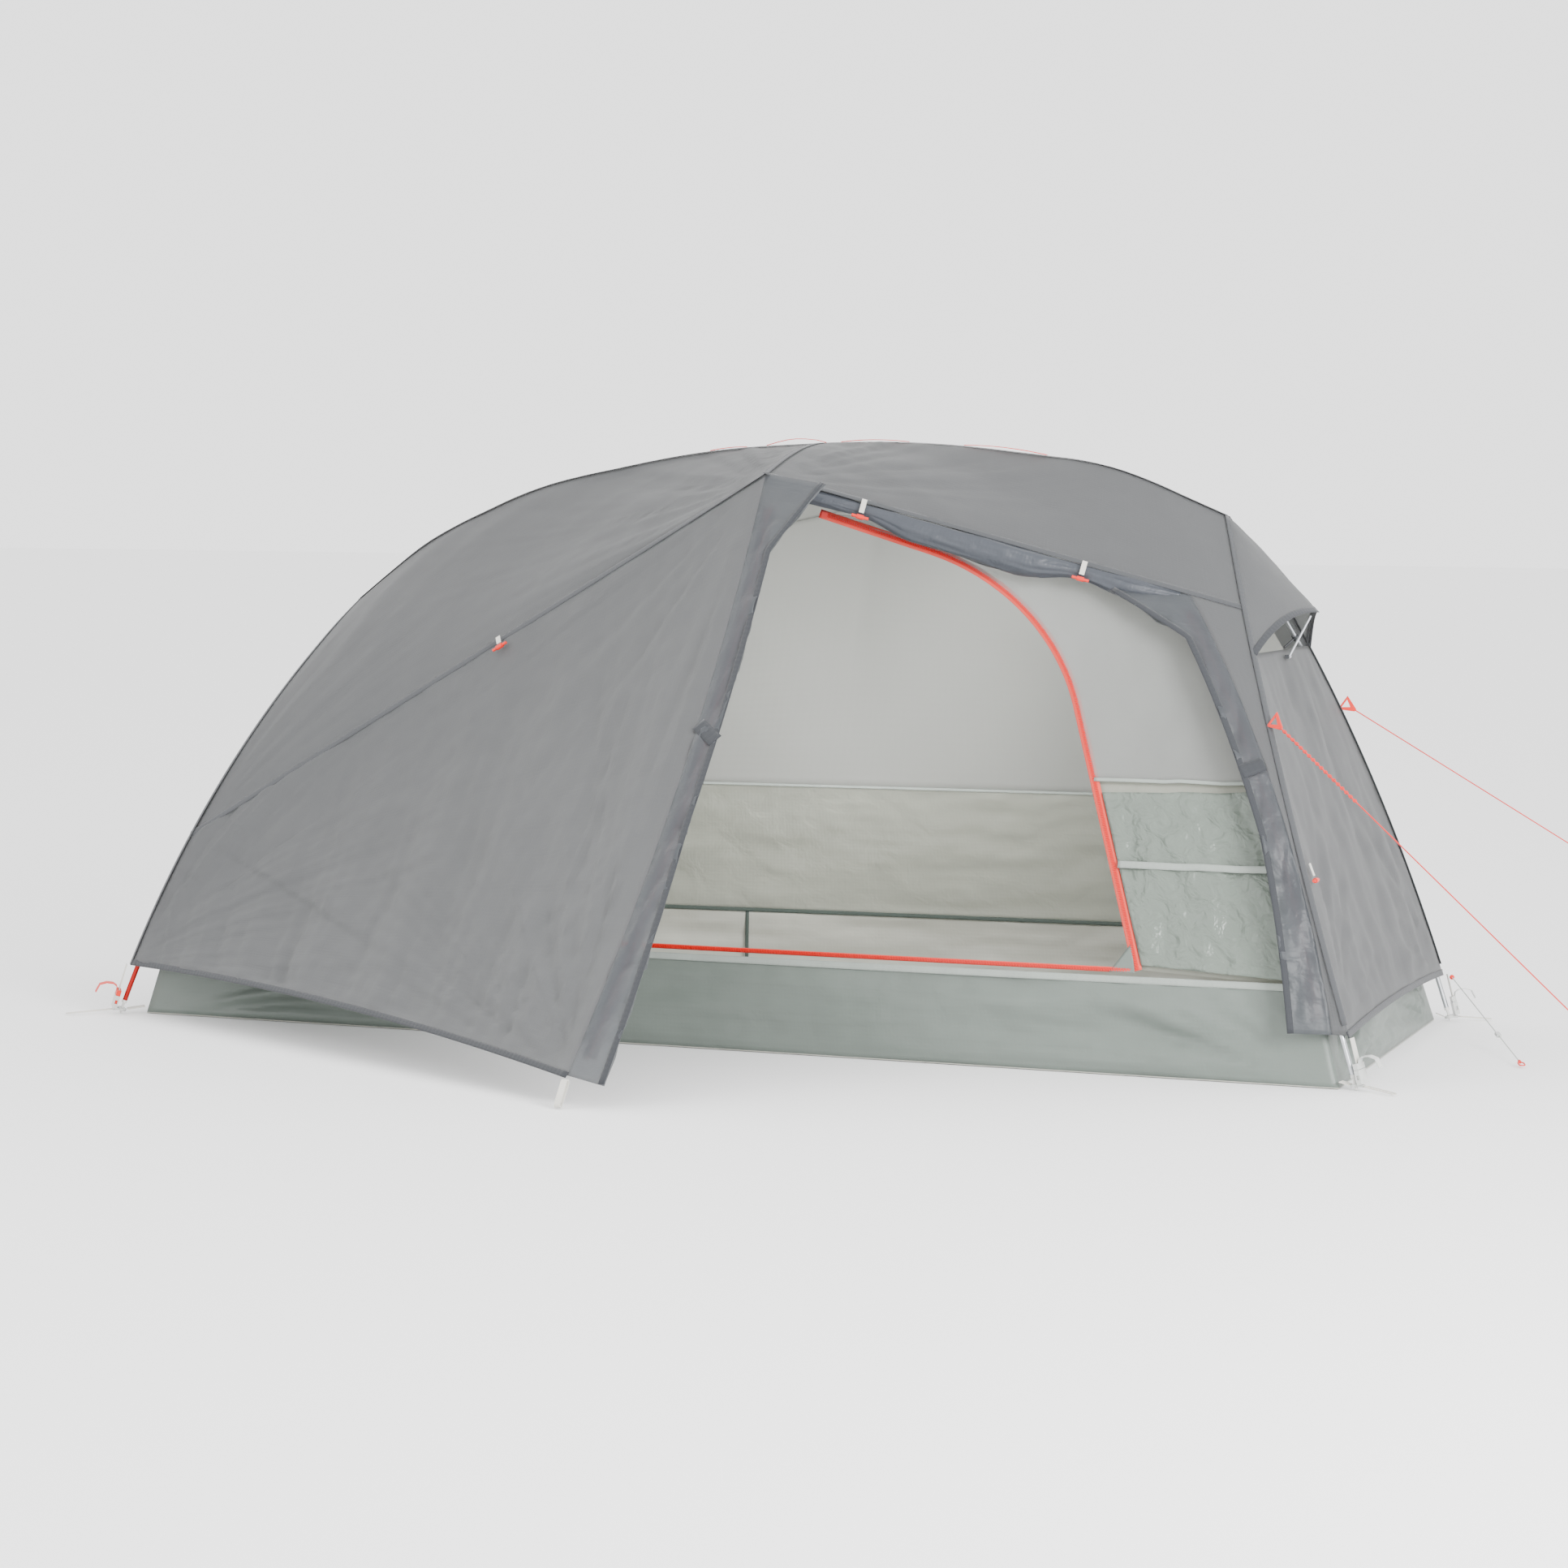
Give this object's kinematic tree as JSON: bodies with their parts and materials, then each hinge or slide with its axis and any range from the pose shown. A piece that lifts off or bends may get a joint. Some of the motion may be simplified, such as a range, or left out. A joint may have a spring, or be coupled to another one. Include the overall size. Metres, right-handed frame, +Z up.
{
  "type": "dome tent",
  "caption": "One-person dome tent with hub pole frame, hung inner tent, rain fly with rolled-up door, vestibule, vent visor and guylines.",
  "frame": {"origin": "middle of the floor's underside, on the ground", "axes": "+X to the head end, -Y to the door side, +Z up"},
  "size_m": [2.7999, 1.7999, 1.063],
  "materials": {
    "fly_cloth": "ripstop, satin",
    "flap_cloth": "coated cloth",
    "rolled_cloth": "rolled cloth",
    "inner_mesh": "fine mesh",
    "inner_cloth": "plain weave",
    "tub_cloth": "coated plain weave",
    "silver_tube": "anodised",
    "red_tube": "anodised dark red",
    "hub_plastic": "moulded",
    "tip_plastic": "moulded",
    "buckle_plastic": "moulded",
    "toggle_plastic": "moulded",
    "zip_coil": "moulded coil",
    "zip_slider": "painted",
    "red_webbing": "woven webbing",
    "pale_webbing": "woven webbing",
    "red_cord": "braided",
    "grey_cord": "braided"
  },
  "bodies": {
    "tent": {"bathtub_walls": "tub_cloth", "brow_pole": "silver_tube", "brow_pole_caps": "hub_plastic", "brow_swivel_clip": "hub_plastic", "corner_floor_straps": "pale_webbing", "corner_fly_straps": "pale_webbing", "corner_guyline": "grey_cord", "corner_sockets": "buckle_plastic", "floor": "tub_cloth", "fly_foot_end": "fly_cloth", "fly_head_end": "fly_cloth", "fly_roof_foot_panels": "fly_cloth", "fly_roof_head_panels": "fly_cloth", "fly_side_strip": "fly_cloth", "fly_vent_visor": "fly_cloth", "fly_vestibule_panel": "fly_cloth", "fly_wall_far": "fly_cloth", "fly_zip_coils": "zip_coil", "foot_hub": "hub_plastic", "foot_leg_poles": "red_tube", "guy_end_loops": "red_cord", "guy_loops": "red_webbing", "guyline_far": "red_cord", "guyline_near": "red_cord", "guyline_near_chain": "red_cord", "head_hub": "hub_plastic", "head_leg_poles": "silver_tube", "inner_ceiling": "inner_mesh", "inner_door_walls": "inner_cloth", "inner_end_walls": "inner_cloth", "inner_low_wall_far": "inner_cloth", "inner_mesh_wall_far": "inner_mesh", "inner_zip_coils": "zip_coil", "pole_clips": "hub_plastic", "pole_ferrules": "silver_tube", "pole_tips": "tip_plastic", "ridge_webbing": "red_webbing", "rolled_fly_door": "rolled_cloth", "rolled_inner_door": "inner_mesh", "shock_cords": "grey_cord", "spine_pole_tubes": "silver_tube", "stake_loops": "pale_webbing", "storm_flaps": "flap_cloth", "toggle_loops": "pale_webbing", "vent_prop_pin": "hub_plastic", "wall_pocket": "inner_cloth"},
    "fly_zip_slider_left": {"fly_zip_slider_left": "zip_slider"},
    "fly_zip_slider_right": {"fly_zip_slider_right": "zip_slider"},
    "inner_zip_slider_top": {"inner_zip_slider_top": "zip_slider"},
    "inner_zip_slider_foot": {"inner_zip_slider_foot": "zip_slider"},
    "buckle_plug_head_near": {"buckle_plug_head_near": "buckle_plastic"},
    "buckle_plug_head_far": {"buckle_plug_head_far": "buckle_plastic"},
    "buckle_plug_foot_near": {"buckle_plug_foot_near": "buckle_plastic"},
    "buckle_plug_foot_far": {"buckle_plug_foot_far": "buckle_plastic"},
    "door_toggle_foot": {"door_toggle_foot": "toggle_plastic"},
    "door_toggle_head": {"door_toggle_head": "toggle_plastic"},
    "spare_toggle_vestibule": {"spare_toggle_vestibule": "toggle_plastic"},
    "spare_toggle_head_end": {"spare_toggle_head_end": "toggle_plastic"},
    "vent_prop": {"vent_prop": "silver_tube"},
    "corner_guy_adjuster": {"corner_guy_adjuster": "buckle_plastic"}
  },
  "joints": [
    {"name": "fly_zip_slider_left_joint", "type": "hinge", "parent": "tent", "child": "fly_zip_slider_left", "pos_m": [-7.05174, -0.5076, 0.7775], "axis": [0, 0.7794, -0.6265], "range_deg": [0, 8.59]},
    {"name": "fly_zip_slider_right_joint", "type": "hinge", "parent": "tent", "child": "fly_zip_slider_right", "pos_m": [0.20781, 0.54939, -0.23094], "axis": [0.746, 0.6627, 0.0662], "range_deg": [0, 30.04]},
    {"name": "inner_zip_slider_top_joint", "type": "slide", "parent": "tent", "child": "inner_zip_slider_top", "axis": [0.9266, 0.2185, -0.3061], "range_m": [0, 0.187]},
    {"name": "inner_zip_slider_foot_joint", "type": "slide", "parent": "tent", "child": "inner_zip_slider_foot", "axis": [0.999, -0.0441, 0.0009], "range_m": [0, 1.442]},
    {"name": "buckle_plug_head_near_joint", "type": "slide", "parent": "tent", "child": "buckle_plug_head_near", "axis": [-0.2573, -0.0089, 0.9663], "range_m": [0, 0.018]},
    {"name": "buckle_plug_head_far_joint", "type": "slide", "parent": "tent", "child": "buckle_plug_head_far", "axis": [-0.2573, 0.0089, 0.9663], "range_m": [0, 0.018]},
    {"name": "buckle_plug_foot_near_joint", "type": "slide", "parent": "tent", "child": "buckle_plug_foot_near", "axis": [0.308, 0.0186, 0.9512], "range_m": [0, 0.018]},
    {"name": "buckle_plug_foot_far_joint", "type": "slide", "parent": "tent", "child": "buckle_plug_foot_far", "axis": [0.308, -0.0186, 0.9512], "range_m": [0, 0.018]},
    {"name": "door_toggle_foot_joint", "type": "hinge", "parent": "tent", "child": "door_toggle_foot", "pos_m": [0.24233, -0.32655, 0.92328], "axis": [0.2577, -0.9443, 0.2046], "range_deg": [-15, 15]},
    {"name": "door_toggle_head_joint", "type": "hinge", "parent": "tent", "child": "door_toggle_head", "pos_m": [0.61336, -0.24743, 0.82103], "axis": [0.2577, -0.9443, 0.2046], "range_deg": [-15, 15]},
    {"name": "spare_toggle_vestibule_joint", "type": "hinge", "parent": "tent", "child": "spare_toggle_vestibule", "pos_m": [-0.41566, -0.35519, 0.68851], "axis": [-0.2927, -0.8377, 0.461], "range_deg": [-40, 40]},
    {"name": "spare_toggle_head_end_joint", "type": "hinge", "parent": "tent", "child": "spare_toggle_head_end", "pos_m": [1.05902, -0.39769, 0.33398], "axis": [0.9424, -0.0501, 0.3308], "range_deg": [-40, 40]},
    {"name": "vent_prop_joint", "type": "hinge", "parent": "tent", "child": "vent_prop", "pos_m": [0.9266, 0, 0.68611], "axis": [0, 1, 0], "range_deg": [0, 115]},
    {"name": "corner_guy_adjuster_joint", "type": "slide", "parent": "tent", "child": "corner_guy_adjuster", "axis": [0.344, -0.9313, -0.1201], "range_m": [-0.38, 0.14]}
  ]
}
